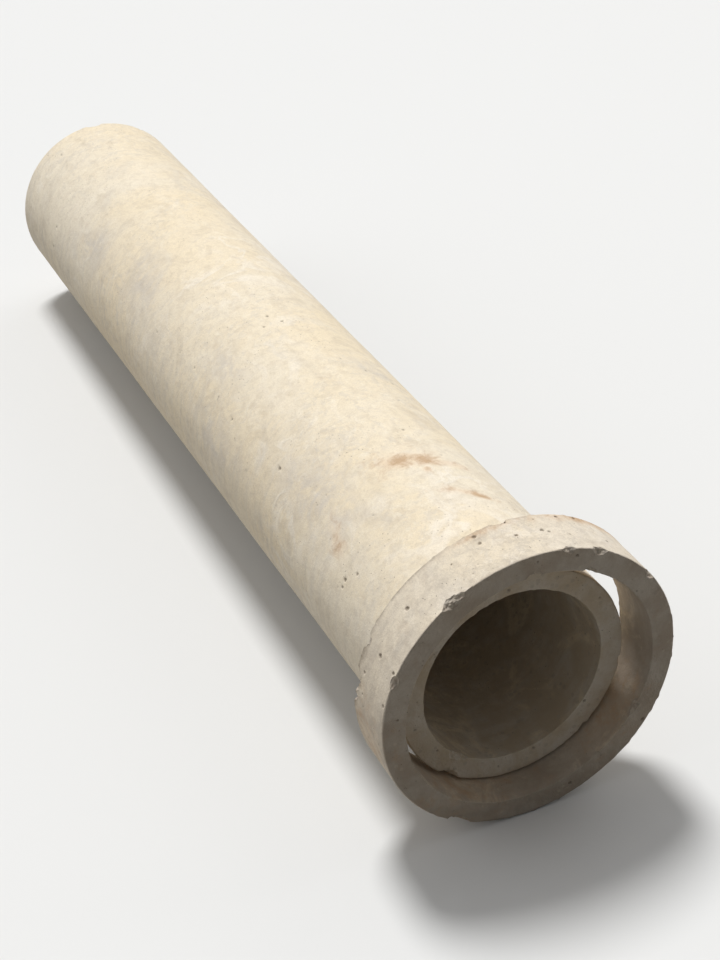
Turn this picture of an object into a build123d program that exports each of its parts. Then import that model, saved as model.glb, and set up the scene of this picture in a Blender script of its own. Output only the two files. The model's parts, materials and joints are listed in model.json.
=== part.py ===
from build123d import *
from math import asin, atan2, cos, hypot, sin
import os

# Concrete culvert pipe with plain ends, and the loose concrete collar that joins it to the next.
# The pair lies on a level floor at Z 0, the collar at the -X end, the origin below its middle.

# Pipe
pipe_bore = 300.0
pipe_wall = 40.0
pipe_length = 2000.0
pipe_edge_round = 3.0

# Collar
collar_wall = 40.0
collar_length = 100.0
collar_edge_round = 3.0

# Fit of the collar on the pipe
caulking_gap = 16.0
joint_gap = 6.0
seat_clearance = 0.3

pipe_inner_radius = pipe_bore / 2
pipe_outer_radius = pipe_inner_radius + pipe_wall
collar_inner_radius = pipe_outer_radius + caulking_gap
collar_outer_radius = collar_inner_radius + collar_wall
pipe_entry = (collar_length - joint_gap) / 2

# The collar stands on its rim. The pipe lies on the rounded back edge of the collar's bore at one
# end and on its own rounded rim at the other, so it leans down towards its free end. The lean
# comes from the centres of those two roundings, first as the pipe sees them and then the floor.
rounding_run = pipe_length - pipe_edge_round - (pipe_entry - collar_edge_round)
rounding_rise = pipe_edge_round + collar_edge_round + seat_clearance
rounding_drop = collar_wall - collar_edge_round - pipe_edge_round
lean = atan2(rounding_rise, rounding_run)
lean += asin(rounding_drop / hypot(rounding_run, rounding_rise))

# The pipe's axis, seen from the middle of the collar at floor level
axis_above_rounding = pipe_outer_radius + collar_edge_round + seat_clearance
rounding_x = collar_length / 2 - collar_edge_round
rounding_z = collar_wall - collar_edge_round
pipe_start_x = rounding_x - (pipe_entry - collar_edge_round) * cos(lean)
pipe_start_x += axis_above_rounding * sin(lean)
pipe_start_z = rounding_z + (pipe_entry - collar_edge_round) * sin(lean)
pipe_start_z += axis_above_rounding * cos(lean)

# The collar's place that puts the origin below the middle of the pair
reach = pipe_start_x + (pipe_length - pipe_edge_round) * cos(lean)
reach += (pipe_outer_radius - pipe_edge_round) * sin(lean) + pipe_edge_round
collar_x = (collar_length / 2 - reach) / 2

# Planes that hold each piece's axis as their X and its cut wall above that axis
pipe_plane = Plane(
    origin=(collar_x + pipe_start_x, 0, pipe_start_z),
    x_dir=(cos(lean), 0, -sin(lean)),
    z_dir=(0, -1, 0),
)
collar_plane = Plane(
    origin=(collar_x, 0, collar_outer_radius),
    x_dir=(1, 0, 0),
    z_dir=(0, -1, 0),
)

# Pipe: one straight wall with slightly rounded rims, turned about its axis
with BuildPart() as pipe:
    with BuildSketch(pipe_plane) as pipe_section:
        with Locations((pipe_length / 2, pipe_inner_radius + pipe_wall / 2)):
            Rectangle(pipe_length, pipe_wall)
        fillet(pipe_section.vertices(), pipe_edge_round)
    revolve(axis=Axis(pipe_plane.origin, pipe_plane.x_dir))

# Collar: a short ring of the same make, wide enough for caulking all round the pipe
with BuildPart() as collar:
    with BuildSketch(collar_plane) as collar_section:
        with Locations((0, collar_inner_radius + collar_wall / 2)):
            Rectangle(collar_length, collar_wall)
        fillet(collar_section.vertices(), collar_edge_round)
    revolve(axis=Axis(collar_plane.origin, collar_plane.x_dir))

pipe.part.label = "pipe"
collar.part.label = "collar"

os.makedirs("parts", exist_ok=True)
export_step(pipe.part, "parts/pipe.step")
export_step(collar.part, "parts/collar.step")
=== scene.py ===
import json
import math
import random

import bmesh
import bpy
from mathutils import Matrix, Vector, noise
from mathutils.kdtree import KDTree


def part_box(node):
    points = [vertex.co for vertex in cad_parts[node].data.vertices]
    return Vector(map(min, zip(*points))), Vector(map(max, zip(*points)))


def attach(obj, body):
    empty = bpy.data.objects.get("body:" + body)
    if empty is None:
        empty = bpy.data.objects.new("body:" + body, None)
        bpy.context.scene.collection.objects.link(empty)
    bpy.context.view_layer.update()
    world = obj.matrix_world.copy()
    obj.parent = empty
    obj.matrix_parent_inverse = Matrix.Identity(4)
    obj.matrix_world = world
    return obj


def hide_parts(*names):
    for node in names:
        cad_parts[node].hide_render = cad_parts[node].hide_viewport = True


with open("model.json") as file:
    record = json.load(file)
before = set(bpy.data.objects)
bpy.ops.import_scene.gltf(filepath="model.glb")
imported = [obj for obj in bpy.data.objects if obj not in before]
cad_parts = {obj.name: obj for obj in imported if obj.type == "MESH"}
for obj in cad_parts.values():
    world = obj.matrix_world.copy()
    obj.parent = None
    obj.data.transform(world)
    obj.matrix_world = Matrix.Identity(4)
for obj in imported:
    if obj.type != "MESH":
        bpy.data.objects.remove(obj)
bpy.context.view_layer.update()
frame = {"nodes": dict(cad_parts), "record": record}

# The looks of a plain-ended concrete culvert pipe and the loose collar on its -X end.
# Lengths are in metres. An angle on a ring is in degrees from its top, positive towards +Y.

chance = random.Random(300)

EDGE_ROUND = 0.003


def add_object(name, data):
    """A new object in the scene."""
    made = bpy.data.objects.new(name, data)
    bpy.context.scene.collection.objects.link(made)
    return made


class Ring:
    """A cast ring, with each place on it as a distance along its axis, a radius and an angle."""

    def __init__(self, start, axis, length, bore_radius, outer_radius):
        self.start = Vector(start)
        self.axis = Vector(axis).normalized()
        self.side = Vector((0, 1, 0))
        self.top = self.axis.cross(self.side)
        self.length = length
        self.bore_radius = bore_radius
        self.outer_radius = outer_radius

    def place(self, along, radius, angle):
        around = math.cos(angle) * self.top + math.sin(angle) * self.side
        return self.start + along * self.axis + radius * around

    def locate(self, point):
        offset = point - self.start
        up, out = offset.dot(self.top), offset.dot(self.side)
        return offset.dot(self.axis), math.hypot(up, out), math.atan2(out, up)

    def skin(self, along, radius):
        """The nearest point of the rounded wall section, and the way out of the concrete there."""
        inner_along = min(max(along, EDGE_ROUND), self.length - EDGE_ROUND)
        inner_radius = min(max(radius, self.bore_radius + EDGE_ROUND), self.outer_radius - EDGE_ROUND)
        outward = Vector((along - inner_along, radius - inner_radius)).normalized()
        return inner_along + EDGE_ROUND * outward.x, inner_radius + EDGE_ROUND * outward.y, outward


def pipe_ring():
    """The pipe's ring, from its bore mount and its box."""
    bore = next(mount for mount in frame["record"]["mounts"] if mount["name"] == "bore")
    low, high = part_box("pipe")
    axis = Vector(bore["axis"])
    length = bore["dims"]["length_mm"] / 1000 + 2 * EDGE_ROUND
    start = Vector(bore["pos_m"]) - axis * length / 2
    return Ring(start, axis, length, bore["dims"]["r_mm"] / 1000, (high.y - low.y) / 2)


def collar_ring():
    """The collar's ring, from its box and the bore that its mesh has."""
    low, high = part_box("collar")
    outer_radius = (high.y - low.y) / 2
    points = frame["nodes"]["collar"].data.vertices
    bore_radius = min(math.hypot(p.co.y, p.co.z - outer_radius) for p in points)
    return Ring((low.x, 0, outer_radius), (1, 0, 0), high.x - low.x, bore_radius, outer_radius)


# Surface grids

ROW_GROWTH = 1.5
CORNER_STEPS = 3
REFINING_CUTS = 3


def graded(start, end, fine, coarse):
    """Places from start to end, fine apart at both ends and coarse apart in the middle."""
    span = abs(end - start)
    reach, step, half = 0.0, fine, []
    while reach < span / 2 - coarse / 4:
        half.append(reach)
        reach += step
        step = min(step * ROW_GROWTH, coarse)
    whole = half + [span - h for h in reversed(half)]
    way = 1 if end > start else -1
    return [start + way * h for h in whole]


def section_loop(ring, fine, outer_step, face_step, bore_step):
    """The wall's section as one closed loop of (along, radius), from the near end of the outside."""
    near, far = EDGE_ROUND, ring.length - EDGE_ROUND
    low, high = ring.bore_radius + EDGE_ROUND, ring.outer_radius - EDGE_ROUND

    def corner(along, radius, first):
        turns = [math.radians(first - 90 * i / CORNER_STEPS) for i in range(1, CORNER_STEPS)]
        return [(along + EDGE_ROUND * math.cos(t), radius + EDGE_ROUND * math.sin(t)) for t in turns]

    loop = [(a, ring.outer_radius) for a in graded(near, far, fine, outer_step)]
    loop += corner(far, high, 90)
    loop += [(ring.length, r) for r in graded(high, low, fine, face_step)]
    loop += corner(far, low, 0)
    loop += [(a, ring.bore_radius) for a in graded(far, near, fine, bore_step)]
    loop += corner(near, low, -90)
    loop += [(0.0, r) for r in graded(low, high, fine, face_step)]
    loop += corner(near, high, 180)
    return loop


def ring_grid(ring, loop, columns):
    """The ring's skin as a bmesh of quads, its rows along the section loop."""
    grid = bmesh.new()
    rows = []
    for along, radius in loop:
        angles = [math.tau * c / columns for c in range(columns)]
        rows.append([grid.verts.new(ring.place(along, radius, a)) for a in angles])
    for r, row in enumerate(rows):
        beside = rows[(r + 1) % len(rows)]
        for c in range(columns):
            d = (c + 1) % columns
            grid.faces.new((row[c], row[d], beside[d], beside[c]))
    return grid


def search_tree(points):
    """A tree that finds the points near a place, each by its number."""
    tree = KDTree(len(points))
    for i, point in enumerate(points):
        tree.insert(point, i)
    tree.balance()
    return tree


def refine(grid, spots):
    """Cuts the grid finer at each spot, a (point, reach) pair."""
    grid.faces.ensure_lookup_table()
    tree = search_tree([face.calc_center_median() for face in grid.faces])
    chosen = set()
    for point, reach in spots:
        chosen.update(i for _, i, _ in tree.find_range(point, reach))
    edges = dict.fromkeys(edge for i in sorted(chosen) for edge in grid.faces[i].edges)
    bmesh.ops.subdivide_edges(grid, edges=list(edges), cuts=REFINING_CUTS, use_grid_fill=True)


# Damage from casting and handling. A skew above 1 makes small pits or chips commoner, a scale is
# how many bumps fit in a metre, and depths and reaches are shares of a pit's or a chip's size.

PIT_WOBBLE = 0.3
PIT_LOBES = 1.3
PIT_VARIETY = 50
PIT_SKEW = 2.2
PIT_DEPTHS = (0.5, 0.9)
PLACED_PIT_DEPTH = 0.7
CHIP_BLUNTNESS = 0.6
CHIP_MARGIN = 0.003
CHIP_SKEW = 2
CHIP_REACHES = (1, 2.4)
OUTER_CHIPS = 0.7
RIM_WEAR = 0.0015
RIM_CRUMBS = 0.0011
CHIP_CRUMBS = 0.45
CHIP_STONES = 0.55
CRUMB_SCALE = 75
STONE_SCALE = 150
STONE_MIDDLE = 0.4
MARK_DRIFT = 0.45
DRIFT_SCALE = 38
DRIFT_APART = Vector((7.3, 2.9, 5.1))


class Pit:
    """A round hole that an air bubble left in the cast skin."""

    def __init__(self, ring, along, radius, angle, size, depth):
        self.point = ring.place(along, radius, math.radians(angle))
        self.size = size
        self.depth = depth

    def depth_at(self, point):
        """How deep the pit is at a point. The outline of each pit wobbles in its own way."""
        offset = point - self.point
        lobes = noise.noise(offset.normalized() * PIT_LOBES + self.point * PIT_VARIETY)
        share = offset.length / (self.size * (1 + PIT_WOBBLE * lobes))
        return self.depth * math.sqrt(1 - share * share) if share < 1 else 0.0


class Chip:
    """A bite that is broken out of a rim, as wide as twice its reach."""

    def __init__(self, at_end, outside, angle, reach, size):
        self.at_end = at_end
        self.outside = outside
        self.angle = math.radians(angle)
        self.reach = reach
        self.size = size

    def spots(self, ring):
        """Spots along the bitten stretch of the rim, for a finer grid there."""
        along = ring.length if self.at_end else 0.0
        radius = ring.outer_radius if self.outside else ring.bore_radius
        steps = max(1, round(2 * self.reach / self.size))
        turns = [self.angle + self.reach / radius * (2 * i / steps - 1) for i in range(steps + 1)]
        return [(ring.place(along, radius, turn), self.size + CHIP_MARGIN) for turn in turns]

    def cut(self, at_end, outside, angle, radius):
        """How much of its rim the chip takes at an angle."""
        if (at_end, outside) != (self.at_end, self.outside):
            return 0.0
        turn = (angle - self.angle + math.pi) % math.tau - math.pi
        share = abs(turn) * radius / self.reach
        return self.size * (1 - share * share) ** CHIP_BLUNTNESS if share < 1 else 0.0


class Mark:
    """A mark on the outside, such as a smear, a stain or a darker band: a soft oval, turned by an
    angle from the axis's direction.
    """

    def __init__(self, along, angle, length, width, turn=0, strength=1.0):
        self.along = along
        self.angle = math.radians(angle)
        self.length = length
        self.width = width
        self.turn = math.radians(turn)
        self.strength = strength

    def share(self, along, angle, radius):
        """How strong the mark is at a place. Its outline drifts a little."""
        u = along - self.along
        v = ((angle - self.angle + math.pi) % math.tau - math.pi) * radius
        at = Vector((along, angle * radius, self.length)) * DRIFT_SCALE
        drift = MARK_DRIFT * min(self.length, self.width)
        u += drift * noise.noise(at)
        v += drift * noise.noise(at + DRIFT_APART)
        across = u * math.cos(self.turn) + v * math.sin(self.turn)
        beside = v * math.cos(self.turn) - u * math.sin(self.turn)
        return self.strength * math.exp(-(across / self.length) ** 2 - (beside / self.width) ** 2)


def placed_pits(ring, places):
    """Pits on the outside, each at an (along, angle, size) that follows the photo."""
    pits = []
    for along, angle, size in places:
        pits.append(Pit(ring, along, ring.outer_radius, angle, size, PLACED_PIT_DEPTH * size))
    return pits


def random_pits(ring, count, smallest, largest, faces=0.15):
    """Pits strewn over the outside, and a share of them over the two end faces."""
    pits = []
    for _ in range(count):
        size = smallest * (largest / smallest) ** (chance.random() ** PIT_SKEW)
        angle = chance.uniform(-180, 180)
        margin = EDGE_ROUND + largest
        if chance.random() < faces:
            along = chance.choice((0.0, ring.length))
            radius = chance.uniform(ring.bore_radius + margin, ring.outer_radius - margin)
        else:
            along = chance.uniform(margin, ring.length - margin)
            radius = ring.outer_radius
        pits.append(Pit(ring, along, radius, angle, size, size * chance.uniform(*PIT_DEPTHS)))
    return pits


def random_chips(count, smallest, largest):
    """Small chips strewn over the four rims."""
    chips = []
    for _ in range(count):
        size = smallest * (largest / smallest) ** (chance.random() ** CHIP_SKEW)
        outside = chance.random() < OUTER_CHIPS
        at_end = chance.random() < 0.5
        angle = chance.uniform(-180, 180)
        reach = size * chance.uniform(*CHIP_REACHES)
        chips.append(Chip(at_end, outside, angle, reach, size))
    return chips


def broken_away(ring, chips, point, along, radius, angle):
    """The place after its rim has worn and chipped away there, and by how much it moved."""
    at_end = along > ring.length / 2
    outside = radius > (ring.bore_radius + ring.outer_radius) / 2
    from_end = ring.length - along if at_end else along
    from_side = ring.outer_radius - radius if outside else radius - ring.bore_radius
    crumbs = noise.noise(point * CRUMB_SCALE)
    cut = max(chip.cut(at_end, outside, angle, radius) for chip in chips)
    if cut > 0:
        stones = noise.voronoi(point * STONE_SCALE)[0][0] - STONE_MIDDLE
        cut *= 1 + CHIP_CRUMBS * crumbs + CHIP_STONES * stones
    cut += RIM_CRUMBS * crumbs + RIM_WEAR
    bite = max(0.0, cut - from_end - from_side) / 2
    along += -bite if at_end else bite
    radius += -bite if outside else bite
    return along, radius, bite


# Cast meshes. A pit's margin is a share of the grid's cell, and a search reaches as many times
# the size of its pit or mark. A pit has its full painted shade, and a break its full colour, from the
# given depth on.

PIT_MARGIN = 0.6
PIT_SEARCH = 1.4
MARK_SEARCH = 0.9
BROKEN_RELIEF = 0.3
FULL_PIT_SHADE_DEPTH = 0.0015
FULL_BREAK = 0.001
OUTSIDE = 0.9


def lumps(point, scale, height):
    """A depth from 0 to twice the height, in lumps of which scale fit in a metre."""
    return height * (1 + noise.noise(point * scale))


def damage_spots(ring, columns, pits, chips, fine_marks=()):
    """Where the grid has to be finer, as (point, reach) pairs."""
    cell = math.tau * ring.outer_radius / columns
    spots = [(pit.point, pit.size + PIT_MARGIN * cell) for pit in pits]
    for chip in chips:
        spots += chip.spots(ring)
    for mark in fine_marks:
        point = ring.place(mark.along, ring.outer_radius, mark.angle)
        spots.append((point, MARK_SEARCH * max(mark.length, mark.width)))
    return spots


def pit_depths(grid, pits):
    """How deep each point of the grid lies in a pit."""
    tree = search_tree([vert.co for vert in grid.verts])
    depths = [0.0] * len(grid.verts)
    for pit in pits:
        for point, i, _ in tree.find_range(pit.point, PIT_SEARCH * pit.size):
            depths[i] = max(depths[i], pit.depth_at(point))
    return depths


def cast_mesh(name, ring, grid, relief, pits, chips, marks):
    """The ring's mesh, with its relief, pits and chips cut in and its marks as attributes."""
    shares = {kind: [] for kind in ("hollow", "broken", "face", "bore", "flank", *marks)}
    for vert, hollow in zip(grid.verts, pit_depths(grid, pits)):
        along, radius, angle = ring.locate(vert.co)
        along, radius, outward = ring.skin(along, radius)
        depth = relief(vert.co, radius, angle, outward) + hollow
        for kind, several in marks.items():
            shares[kind].append(max(mark.share(along, angle, radius) for mark in several))
        along, radius, bite = broken_away(ring, chips, vert.co, along, radius, angle)
        if bite > 0:
            depth *= BROKEN_RELIEF
        # How much painted shade the pit gives this point, by its depth.
        shares["hollow"].append(min(1.0, hollow / FULL_PIT_SHADE_DEPTH))
        shares["broken"].append(min(1.0, bite / FULL_BREAK))
        shares["face"].append(abs(outward.x))
        shares["bore"].append(max(0.0, -outward.y))
        shares["flank"].append(max(0.0, outward.y) * math.sin(angle) ** 2)
        vert.co = ring.place(along - depth * outward.x, radius - depth * outward.y, angle)
    bmesh.ops.recalc_face_normals(grid, faces=grid.faces)
    mesh = bpy.data.meshes.new(name)
    grid.to_mesh(mesh)
    grid.free()
    for kind, numbers in shares.items():
        mesh.attributes.new(kind, "FLOAT", "POINT").data.foreach_set("value", numbers)
    mesh.shade_smooth()
    return add_object(name, mesh)


# Pipe. Its pits are (along, angle, size), and its stains are, from the crown on: the large stain
# with its halo, its tail in three marks, the streak by the collar in two, and a smear low down.

PIPE_COLUMNS = 192
SEAM_ANGLE = math.radians(112)
SEAM_WIDTH = 0.004
SEAM_DEPTH = 0.0006
PIPE_PITS = [
    (0.237, 63, 0.0036), (0.216, 56, 0.0030), (0.237, 67, 0.0028),
    (0.930, 3, 0.0030), (0.898, 9, 0.0028), (0.899, -2, 0.0032), (0.748, 56, 0.0026),
]
PIPE_STAINS = [
    Mark(0.362, 3, 0.036, 0.020, turn=75, strength=1.20),
    Mark(0.366, 4, 0.056, 0.040, turn=75, strength=0.45),
    Mark(0.349, -8, 0.040, 0.018, turn=62, strength=1.0),
    Mark(0.330, -18, 0.036, 0.013, turn=62, strength=0.70),
    Mark(0.317, -5, 0.009, 0.008, strength=1.1),
    Mark(0.228, -16, 0.036, 0.010, turn=60, strength=0.90),
    Mark(0.245, -8, 0.026, 0.013, turn=60, strength=0.55),
    Mark(0.30, 53, 0.045, 0.016, turn=-18, strength=0.65),
]
PIPE_SOIL = PIPE_STAINS + [
    Mark(0.09, -46, 0.05, 0.03, strength=0.9),
]
PIPE_GREY = [
    Mark(0.40, 47, 0.14, 0.05, turn=8),
    Mark(0.77, 76, 0.12, 0.04),
    Mark(0.69, -29, 0.05, 0.02, turn=30),
    Mark(0.85, 39, 0.05, 0.03),
    Mark(1.56, 56, 0.09, 0.04, turn=20),
    Mark(1.29, 44, 0.10, 0.04, turn=-15),
]
# Darker bands along the pipe's bottom: at its far end, where it leaves the collar, and along its
# middle.
PIPE_UNDERSIDE_DARK = [
    Mark(1.995, 175, 0.020, 0.12, strength=0.9),
    Mark(0.047, 180, 0.012, 0.12, strength=0.8),
    Mark(1.10, 178, 0.50, 0.030, strength=0.35),
]


def pipe_relief(point, radius, angle, outward):
    """How deep the pipe's skin lies: long waves, small lumps, and two seams or rough faces."""
    depth = lumps(point, scale=5, height=0.0005)
    depth += lumps(point, scale=34, height=0.00025)
    if outward.y > OUTSIDE:
        turn = (angle - SEAM_ANGLE + math.pi / 2) % math.pi - math.pi / 2
        depth += SEAM_DEPTH * math.exp(-(turn * radius / SEAM_WIDTH) ** 2)
    else:
        depth += lumps(point, scale=110, height=0.0005)
    return depth


def make_pipe():
    ring = pipe_ring()
    loop = section_loop(ring, fine=0.001, outer_step=0.0092, face_step=0.005, bore_step=0.03)
    grid = ring_grid(ring, loop, PIPE_COLUMNS)
    pits = placed_pits(ring, PIPE_PITS)
    pits += random_pits(ring, 185, smallest=0.0012, largest=0.0036)
    chips = random_chips(13, smallest=0.005, largest=0.010)
    refine(grid, damage_spots(ring, PIPE_COLUMNS, pits, chips, PIPE_STAINS))
    marks = {"soil": PIPE_SOIL, "grey": PIPE_GREY, "grime_and_underside": PIPE_UNDERSIDE_DARK}
    return cast_mesh("pipe_shell", ring, grid, pipe_relief, pits, chips, marks)


# Collar. Its soil and grime lie along the far rim, it is darker along its bottom, and its large chips
# are on the rims in view.

COLLAR_COLUMNS = 360
COLLAR_PITS = [
    (0.088, 12, 0.0036), (0.070, 12, 0.0030), (0.056, -10, 0.0034), (0.050, -12, 0.0026),
    (0.059, 45, 0.0036), (0.054, 64, 0.0038), (0.010, 64, 0.0030),
]
COLLAR_CHIPS = [
    Chip(at_end=True, outside=True, angle=80, reach=0.022, size=0.016),
    Chip(at_end=True, outside=True, angle=87, reach=0.010, size=0.011),
    Chip(at_end=False, outside=True, angle=-53, reach=0.010, size=0.010),
]
COLLAR_SOIL = [
    Mark(0.095, -35, 0.016, 0.11, strength=0.9),
    Mark(0.092, 8, 0.010, 0.07, strength=0.6),
    Mark(0.060, 100, 0.05, 0.08, strength=0.55),
    Mark(0.050, 150, 0.06, 0.12, strength=0.5),
    Mark(0.040, -130, 0.05, 0.10, strength=0.5),
]
COLLAR_GREY = [
    Mark(0.05, 96, 0.07, 0.10, strength=1.0),
    Mark(0.07, 66, 0.05, 0.04, strength=0.5),
    Mark(0.05, -80, 0.07, 0.14, strength=0.8),
]
COLLAR_GRIME_AND_UNDERSIDE_DARK = [
    Mark(0.098, 5, 0.005, 0.10, strength=0.8),
    Mark(0.098, 42, 0.005, 0.10, strength=1.0),
    Mark(0.097, 80, 0.008, 0.10, strength=1.1),
    Mark(0.098, -60, 0.006, 0.14, strength=0.9),
    # A darker band along the collar's bottom.
    Mark(0.050, 180, 0.050, 0.08, strength=0.7),
]


def collar_relief(point, radius, angle, outward):
    """How deep the collar's skin lies: waves, small lumps, and rough faces and bore."""
    depth = lumps(point, scale=9, height=0.0006)
    depth += lumps(point, scale=60, height=0.0003)
    if outward.y < OUTSIDE:
        depth += lumps(point, scale=120, height=0.0005)
    return depth


def make_collar():
    ring = collar_ring()
    loop = section_loop(ring, fine=0.0009, outer_step=0.0038, face_step=0.0036, bore_step=0.0045)
    grid = ring_grid(ring, loop, COLLAR_COLUMNS)
    pits = placed_pits(ring, COLLAR_PITS)
    pits += random_pits(ring, 100, smallest=0.0012, largest=0.0034, faces=0.25)
    chips = COLLAR_CHIPS + random_chips(12, smallest=0.006, largest=0.011)
    refine(grid, damage_spots(ring, COLLAR_COLUMNS, pits, chips))
    marks = {"soil": COLLAR_SOIL, "grey": COLLAR_GREY, "grime_and_underside": COLLAR_GRIME_AND_UNDERSIDE_DARK}
    return cast_mesh("collar_ring", ring, grid, collar_relief, pits, chips, marks)


# Shader nodes

class Nodes:
    """A node tree, with a short call for each kind of node."""

    def __init__(self, tree):
        self.tree = tree

    def add(self, kind, inputs=None, **settings):
        node = self.tree.nodes.new(kind)
        for name, value in settings.items():
            setattr(node, name, value)
        for name, value in (inputs or {}).items():
            self.feed(node.inputs[name], value)
        return node

    def feed(self, socket, value):
        """Links a socket to another one, or sets it to a number, a vector or a colour."""
        if isinstance(value, bpy.types.NodeSocket):
            self.tree.links.new(value, socket)
        elif socket.type == "RGBA":
            socket.default_value = (*value, 1)
        else:
            socket.default_value = value

    def math(self, operation, a, b=0.0):
        return self.add("ShaderNodeMath", {0: a, 1: b}, operation=operation).outputs[0]

    def times(self, a, b):
        return self.math("MULTIPLY", a, b)

    def ramp(self, value, low, high, start=0.0, end=1.0, curve="SMOOTHSTEP"):
        """Start below low, end above high, and smooth between."""
        limits = {"From Min": low, "From Max": high, "To Min": start, "To Max": end}
        node = self.add("ShaderNodeMapRange", {"Value": value, **limits}, interpolation_type=curve)
        return node.outputs["Result"]

    def mix(self, share, a, b):
        inputs = {"Factor": share, "A": a, "B": b}
        return self.add("ShaderNodeMix", inputs, data_type="RGBA").outputs["Result"]

    def backdrop_rays(self):
        """1 for the rays that show the background itself, and 0 for those that light the object."""
        path = self.add("ShaderNodeLightPath")
        shown = path.outputs["Is Camera Ray"]
        for kind in ("Is Glossy Ray", "Is Transmission Ray"):
            shown = self.math("MAXIMUM", shown, path.outputs[kind])
        return shown


class Shader(Nodes):
    """One material's nodes. Its patterns lie in the object's own space."""

    def __init__(self, name):
        self.material = bpy.data.materials.new(name)
        self.material.use_nodes = True
        super().__init__(self.material.node_tree)
        self.surface = self.tree.nodes["Principled BSDF"]
        self.place = self.add("ShaderNodeTexCoord").outputs["Object"]

    def attribute(self, name):
        return self.add("ShaderNodeAttribute", attribute_name=name).outputs["Fac"]

    def clouds(self, scale, detail=2.0, roughness=0.5, distortion=0.0, stretch=(1, 1, 1), shift=0.0):
        """A cloud pattern, about 0 to 1, with scale clouds to the metre."""
        moved = {"Vector": self.place, "Scale": stretch, "Location": (shift, shift, shift)}
        inputs = {
            "Vector": self.add("ShaderNodeMapping", moved).outputs["Vector"],
            "Scale": scale,
            "Detail": detail,
            "Roughness": roughness,
            "Distortion": distortion,
        }
        return self.add("ShaderNodeTexNoise", inputs).outputs["Fac"]

    def cells(self, scale):
        """A node with scale cells to the metre."""
        return self.add("ShaderNodeTexVoronoi", {"Vector": self.place, "Scale": scale})

    def patches(self, colour, tone, low, high, least=0.0, most=1.0, where=None, **clouds):
        """The colour with patches of a tone, from the least to the most of it."""
        share = self.ramp(self.clouds(**clouds), low, high, least, most)
        if where:
            share = self.times(share, where)
        return self.mix(share, colour, tone)

    def bump(self, height, distance, strength, under=None):
        inputs = {"Height": height, "Distance": distance, "Strength": strength}
        if under:
            inputs["Normal"] = under
        return self.add("ShaderNodeBump", inputs).outputs["Normal"]


# Concrete

class Tones:
    """The colours of one batch of concrete."""

    def __init__(self, slurry, bright, cream, pale, grey, lilac, shaded):
        self.slurry = slurry
        self.bright = bright
        self.cream = cream
        self.pale = pale
        self.grey = grey
        self.lilac = lilac
        self.shaded = shaded


PIPE_TONES = Tones(
    slurry=(0.96, 0.90, 0.80),
    bright=(0.93, 0.845, 0.69),
    cream=(0.875, 0.755, 0.555),
    pale=(0.865, 0.78, 0.63),
    grey=(0.65, 0.595, 0.515),
    lilac=(0.62, 0.575, 0.525),
    shaded=(0.53, 0.44, 0.325),
)
COLLAR_TONES = Tones(
    slurry=(0.90, 0.83, 0.73),
    bright=(0.87, 0.785, 0.65),
    cream=(0.83, 0.725, 0.56),
    pale=(0.81, 0.725, 0.595),
    grey=(0.50, 0.45, 0.385),
    lilac=(0.43, 0.385, 0.335),
    shaded=(0.38, 0.315, 0.25),
)
# The tone of the painted shade in the pits and the tiny holes.
HOLE_SHADE_TONE = (0.17, 0.135, 0.10)
SOIL_TONES = ((0.40, 0.245, 0.13), (0.60, 0.41, 0.245))
SOIL_HALO = (0.82, 0.64, 0.46)
SOIL_CRUMB = (0.30, 0.17, 0.10)
# The tone of the grime on the collar's far rim and of the darker bands along the bottoms.
GRIME_AND_UNDERSIDE_TONE = (0.26, 0.21, 0.15)
STONE_TONES = ((0.30, 0.27, 0.23), (0.62, 0.55, 0.44))
GRAIN_SCALE = 120
TINY_HOLE_SCALE = 115
TINY_HOLE_SIZE = 0.0011
TINY_HOLE_SHADE = 0.65
PIT_SHADE = 0.62
SAND_DARK = 0.6
FEW_STONES = 0.38
# How far the end faces and the bore take their darker tone, which is partly greyer skin and partly
# painted shade.
INSIDE_GREY_AND_SHADE = 0.92
FRESH_BREAK = 0.75


def clouded_skin(s, tones):
    """Cream skin with broad pale clouds, smaller grey ones, and flecks in worked zones."""
    colour = s.patches(
        tones.cream, tones.pale, low=0.36, high=0.66,
        scale=2.4, detail=5, roughness=0.55, distortion=0.6,
    )
    colour = s.patches(
        colour, tones.grey, low=0.50, high=0.70, most=0.38,
        scale=7.0, detail=6, roughness=0.62, distortion=1.0, shift=3.1,
    )
    colour = s.patches(
        colour, tones.shaded, low=0.52, high=0.64, most=0.24,
        scale=17.0, detail=6, roughness=0.66, distortion=0.5, shift=6.3,
    )
    colour = s.patches(
        colour, tones.pale, low=0.54, high=0.68, most=0.50,
        scale=11.0, detail=6, roughness=0.65, distortion=1.2, shift=2.6,
    )
    worked = s.ramp(s.clouds(4.0, detail=3, distortion=0.5, shift=12.4), 0.42, 0.60, start=0.05)
    colour = s.patches(
        colour, tones.grey, low=0.50, high=0.62, most=0.40, where=worked,
        scale=42.0, detail=5, roughness=0.72, distortion=0.4, shift=0.8,
    )
    return s.patches(
        colour, tones.bright, low=0.54, high=0.66, most=0.60, where=worked,
        scale=60.0, detail=4, roughness=0.70, distortion=0.3, shift=5.9,
    )


def traces(s, scale, distortion, shift, breadth, most):
    """Curved lines along the middle of a cloud pattern, here and there."""
    pattern = s.clouds(scale, detail=3, roughness=0.55, distortion=distortion, shift=shift)
    line = s.ramp(s.math("ABSOLUTE", s.math("SUBTRACT", pattern, 0.5)), breadth, 0.0)
    where = s.clouds(3.2, detail=4, roughness=0.6, shift=shift + 4.7)
    return s.times(line, s.ramp(where, 0.46, 0.68, end=most))


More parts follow.
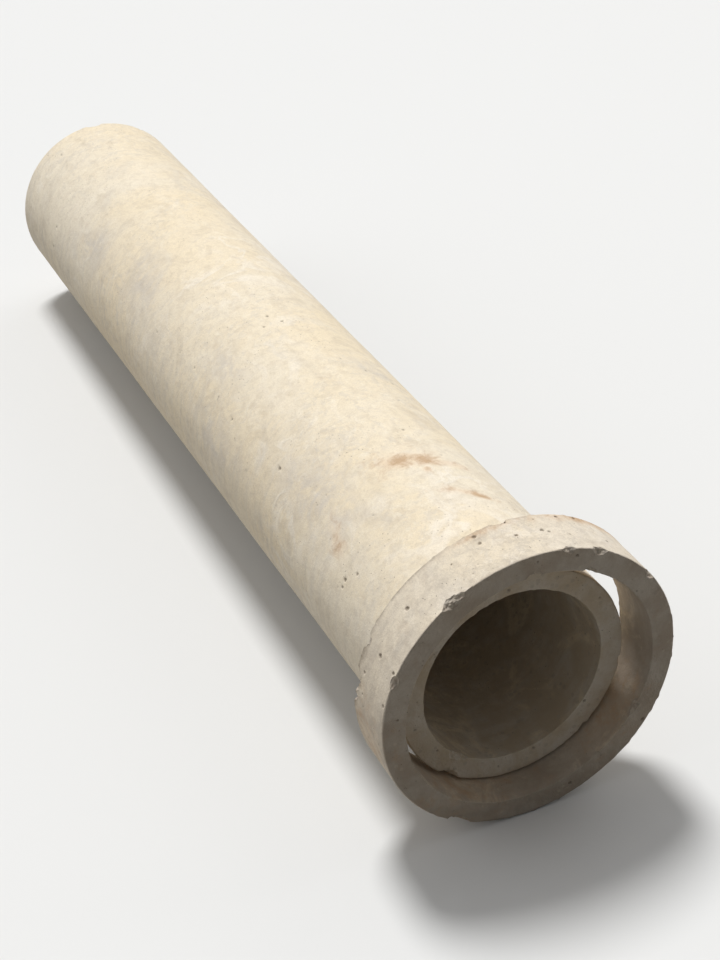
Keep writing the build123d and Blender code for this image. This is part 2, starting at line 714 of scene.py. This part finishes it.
def slurried(s, colour, tones):
    """Traces of cement slurry, dark ones in the skin and light ones that stand up from it."""
    dark = traces(s, scale=8.0, distortion=2.2, shift=4.4, breadth=0.035, most=0.22)
    colour = s.mix(dark, colour, tones.lilac)
    light = traces(s, scale=10.0, distortion=1.2, shift=7.9, breadth=0.085, most=0.55)
    return s.mix(light, colour, tones.slurry), light


def weathered(s, colour, tones):
    """Grey where the photo shows it, faint runs and drags, dark grime along some rims, and darker
    bands along the bottoms.
    """
    colour = s.patches(
        colour, tones.lilac, low=0.32, high=0.62, most=0.65, where=s.attribute("grey"),
        scale=22, detail=5, roughness=0.62, distortion=0.8,
    )
    colour = s.patches(
        colour, tones.grey, low=0.42, high=0.72, most=0.42, where=s.attribute("flank"),
        scale=5.0, detail=5, roughness=0.62, distortion=0.25, stretch=(11, 1, 1), shift=5.2,
    )
    colour = s.patches(
        colour, tones.shaded, low=0.54, high=0.76, most=0.22,
        scale=3.0, detail=5, roughness=0.6, distortion=0.3, stretch=(1, 8, 8), shift=1.7,
    )
    # Dark grime along the collar's far rim, and darker bands along the bottoms.
    return s.patches(
        colour, GRIME_AND_UNDERSIDE_TONE, low=0.36, high=0.60, least=0.20, most=0.85, where=s.attribute("grime_and_underside"),
        scale=75, detail=5, roughness=0.70, distortion=0.4, shift=10.3,
    )


def greyer_shaded_inside(s, tones):
    """The end faces and the bore in a darker tone, partly their greyer skin and partly painted shade,
    with runs and a pale film in the bore.
    """
    in_bore = s.attribute("bore")
    colour = s.patches(
        tones.shaded, tones.grey, low=0.34, high=0.66,
        scale=16, detail=5, roughness=0.62, distortion=0.4,
    )
    colour = s.patches(
        colour, tones.shaded, low=0.35, high=0.70, most=0.65, where=in_bore,
        scale=6.0, detail=4, roughness=0.6, distortion=0.2, stretch=(12, 1, 1), shift=7.7,
    )
    return s.patches(
        colour, tones.cream, low=0.50, high=0.66, most=0.55, where=in_bore,
        scale=13.0, detail=5, roughness=0.66, distortion=1.0, shift=14.2,
    )


def rough_faces(s, colour, tones):
    """The end faces and the bore with a few stones showing, and many more where it is broken."""
    grains = s.cells(GRAIN_SCALE)
    lot = s.add("ShaderNodeSeparateColor", {"Color": grains.outputs["Color"]})
    stone = s.mix(lot.outputs["Green"], *STONE_TONES)
    rounded = s.ramp(grains.outputs["Distance"], 0.50, 0.38)
    few = s.times(s.ramp(lot.outputs["Red"], 0.72, 0.78), rounded)
    inside_grey_and_shade = s.mix(s.times(few, FEW_STONES), greyer_shaded_inside(s, tones), stone)
    inside = s.math("MAXIMUM", s.attribute("face"), s.attribute("bore"))
    # The end faces and the bore take their darker tone, partly greyer skin and partly painted shade.
    colour = s.mix(s.times(inside, INSIDE_GREY_AND_SHADE), colour, inside_grey_and_shade)
    mortar = s.patches(
        tones.shaded, tones.grey, low=0.40, high=0.60,
        scale=130, detail=4, roughness=0.6,
    )
    many = s.times(s.ramp(lot.outputs["Red"], 0.40, 0.46), rounded)
    fresh = s.mix(many, mortar, stone)
    return s.mix(s.times(s.attribute("broken"), FRESH_BREAK), colour, fresh)


def sanded(s, colour, tones):
    """Fine sand in the cement, and a soft mottle of a centimetre or so."""
    sand = s.clouds(420, detail=2, roughness=0.7)
    darker = s.mix(SAND_DARK, colour, tones.shaded)
    colour = s.mix(s.ramp(sand, 0.36, 0.68, end=0.38), colour, darker)
    colour = s.patches(
        colour, tones.shaded, low=0.42, high=0.70, most=0.26,
        scale=70, detail=4, roughness=0.68, distortion=0.6,
    )
    return colour, sand


def tiny_holes(s):
    """Holes of about a millimetre, in some zones only."""
    distance = s.cells(TINY_HOLE_SCALE).outputs["Distance"]
    rim = TINY_HOLE_SIZE * TINY_HOLE_SCALE
    where = s.ramp(s.clouds(12, detail=3, shift=8.8), 0.50, 0.60)
    return s.times(s.ramp(distance, rim, 0.6 * rim), where)


def soiled(s, colour):
    """Soil that was smeared on in handling, soft at its edges and with crumbs in it."""
    amount = s.attribute("soil")
    colour = s.mix(s.ramp(amount, 0.02, 0.80, end=0.42), colour, SOIL_HALO)
    ragged = s.clouds(34, detail=6, roughness=0.72, distortion=0.5, shift=2.2)
    edge = s.ramp(ragged, 0.30, 0.70, start=-0.42, end=0.42)
    smear = s.ramp(s.math("ADD", amount, edge), 0.20, 1.20, end=0.80)
    soil = s.mix(s.clouds(90, detail=4, roughness=0.6), *SOIL_TONES)
    colour = s.mix(smear, colour, soil)
    crumbs = s.ramp(s.clouds(300, detail=3, roughness=0.6), 0.58, 0.68, end=0.45)
    return s.mix(s.times(crumbs, s.ramp(amount, 0.25, 0.9)), colour, SOIL_CRUMB)


def concrete(name, tones):
    """Cast concrete: clouded, sanded, pitted and soiled, with painted shade in its pits and small
    holes, and greyer on its faces and in its bore, partly as painted shade.
    """
    s = Shader(name)
    colour = clouded_skin(s, tones)
    colour, ridges = slurried(s, colour, tones)
    colour = weathered(s, colour, tones)
    colour = rough_faces(s, colour, tones)
    colour, sand = sanded(s, colour, tones)
    holes = tiny_holes(s)
    # Painted shade in the tiny holes.
    colour = s.mix(s.times(holes, TINY_HOLE_SHADE), colour, HOLE_SHADE_TONE)
    colour = soiled(s, colour)
    # Painted shade in the pits, darker where they are deeper.
    colour = s.mix(s.times(s.attribute("hollow"), PIT_SHADE), colour, HOLE_SHADE_TONE)
    uncast = s.math("MAXIMUM", s.attribute("face"), s.attribute("broken"))
    cast = s.math("SUBTRACT", 1.0, uncast)
    gravel = s.clouds(85, detail=3, roughness=0.7, shift=1.1)
    grit = s.clouds(150, detail=3, roughness=0.65)
    normal = s.bump(s.times(gravel, uncast), distance=0.0035, strength=0.8)
    normal = s.bump(s.times(ridges, cast), distance=0.0010, strength=0.7, under=normal)
    normal = s.bump(grit, distance=0.0008, strength=0.8, under=normal)
    normal = s.bump(sand, distance=0.0003, strength=0.8, under=normal)
    normal = s.bump(s.times(holes, -1.0), distance=0.0007, strength=1.0, under=normal)
    s.feed(s.surface.inputs["Base Color"], colour)
    worn = s.clouds(30, detail=4)
    s.feed(s.surface.inputs["Roughness"], s.ramp(worn, 0.3, 0.7, start=0.80, end=0.96))
    s.feed(s.surface.inputs["Specular IOR Level"], 0.3)
    s.feed(s.surface.inputs["Normal"], normal)
    return s.material


for node, make, tones in (("pipe", make_pipe, PIPE_TONES), ("collar", make_collar, COLLAR_TONES)):
    piece = make()
    piece.data.materials.append(concrete(node + "_cast", tones))
    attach(piece, "root")
    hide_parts(node)


# Floor, light and camera

FLOOR_HALF = 20.0
FLOOR_SHOWN = (0.79, 0.79, 0.78)
FLOOR_BOUNCE = (0.30, 0.29, 0.27)
CAMERA_PLACE = Vector((-2.92, 1.07, 2.06))
CAMERA_AIM = Vector((-0.383, -0.014, 0.235))
CAMERA_ROLL = math.radians(-2.5)
CAMERA_LENS = 71.0
SUN_FROM = Vector((0.45, -0.02, 0.89))
SUN_STRENGTH = 2.5
SUN_SPREAD = math.radians(16)
FILL_FROM = Vector((0.30, 0.85, 0.40))
FILL_STRENGTH = 0.55
FILL_SPREAD = math.radians(60)
SKY_NEAR = 0.08
SKY_FAR = 0.48
BACKDROP_STRENGTH = 0.92


def make_floor():
    """A pale floor that throws less light back at the object than it shows."""
    mesh = bpy.data.meshes.new("floor")
    corners = [(x * FLOOR_HALF, y * FLOOR_HALF, 0) for x, y in ((-1, -1), (1, -1), (1, 1), (-1, 1))]
    mesh.from_pydata(corners, [], [(0, 1, 2, 3)])
    s = Shader("floor_paper")
    s.feed(s.surface.inputs["Base Color"], s.mix(s.backdrop_rays(), FLOOR_BOUNCE, FLOOR_SHOWN))
    s.feed(s.surface.inputs["Roughness"], 1.0)
    s.feed(s.surface.inputs["Specular IOR Level"], 0.0)
    mesh.materials.append(s.material)
    add_object("floor", mesh)


def make_lamp(name, from_way, strength, spread):
    data = bpy.data.lights.new(name, "SUN")
    data.energy = strength
    data.angle = spread
    add_object(name, data).rotation_euler = from_way.to_track_quat("Z", "Y").to_euler()


def make_light():
    """A soft sun, two weak fill lamps, and a sky that is brighter behind the object."""
    world = bpy.data.worlds.new("studio")
    world.use_nodes = True
    bpy.context.scene.world = world
    s = Nodes(world.node_tree)
    way = s.add("ShaderNodeTexCoord").outputs["Generated"]
    along = s.add("ShaderNodeSeparateXYZ", {"Vector": way}).outputs["X"]
    soft = s.ramp(along, -1.0, 1.0, SKY_NEAR, SKY_FAR, curve="LINEAR")
    level = s.ramp(s.backdrop_rays(), 0.0, 1.0, soft, BACKDROP_STRENGTH, curve="LINEAR")
    sky = world.node_tree.nodes["Background"]
    s.feed(sky.inputs["Color"], (1, 1, 1))
    s.feed(sky.inputs["Strength"], level)
    fill_mirrored = Vector((FILL_FROM.x, -FILL_FROM.y, FILL_FROM.z))
    make_lamp("key", SUN_FROM, SUN_STRENGTH, SUN_SPREAD)
    make_lamp("fill_left", FILL_FROM, FILL_STRENGTH, FILL_SPREAD)
    make_lamp("fill_right", fill_mirrored, FILL_STRENGTH, FILL_SPREAD)


def make_camera():
    data = bpy.data.cameras.new("camera")
    data.lens = CAMERA_LENS
    camera = add_object("camera", data)
    turned = (CAMERA_AIM - CAMERA_PLACE).to_track_quat("-Z", "Y").to_matrix().to_4x4()
    roll = Matrix.Rotation(CAMERA_ROLL, 4, "Z")
    camera.matrix_world = Matrix.Translation(CAMERA_PLACE) @ turned @ roll
    bpy.context.scene.camera = camera


make_floor()
make_light()
make_camera()
bpy.context.scene.view_settings.view_transform = "Standard"

bpy.context.view_layer.update()
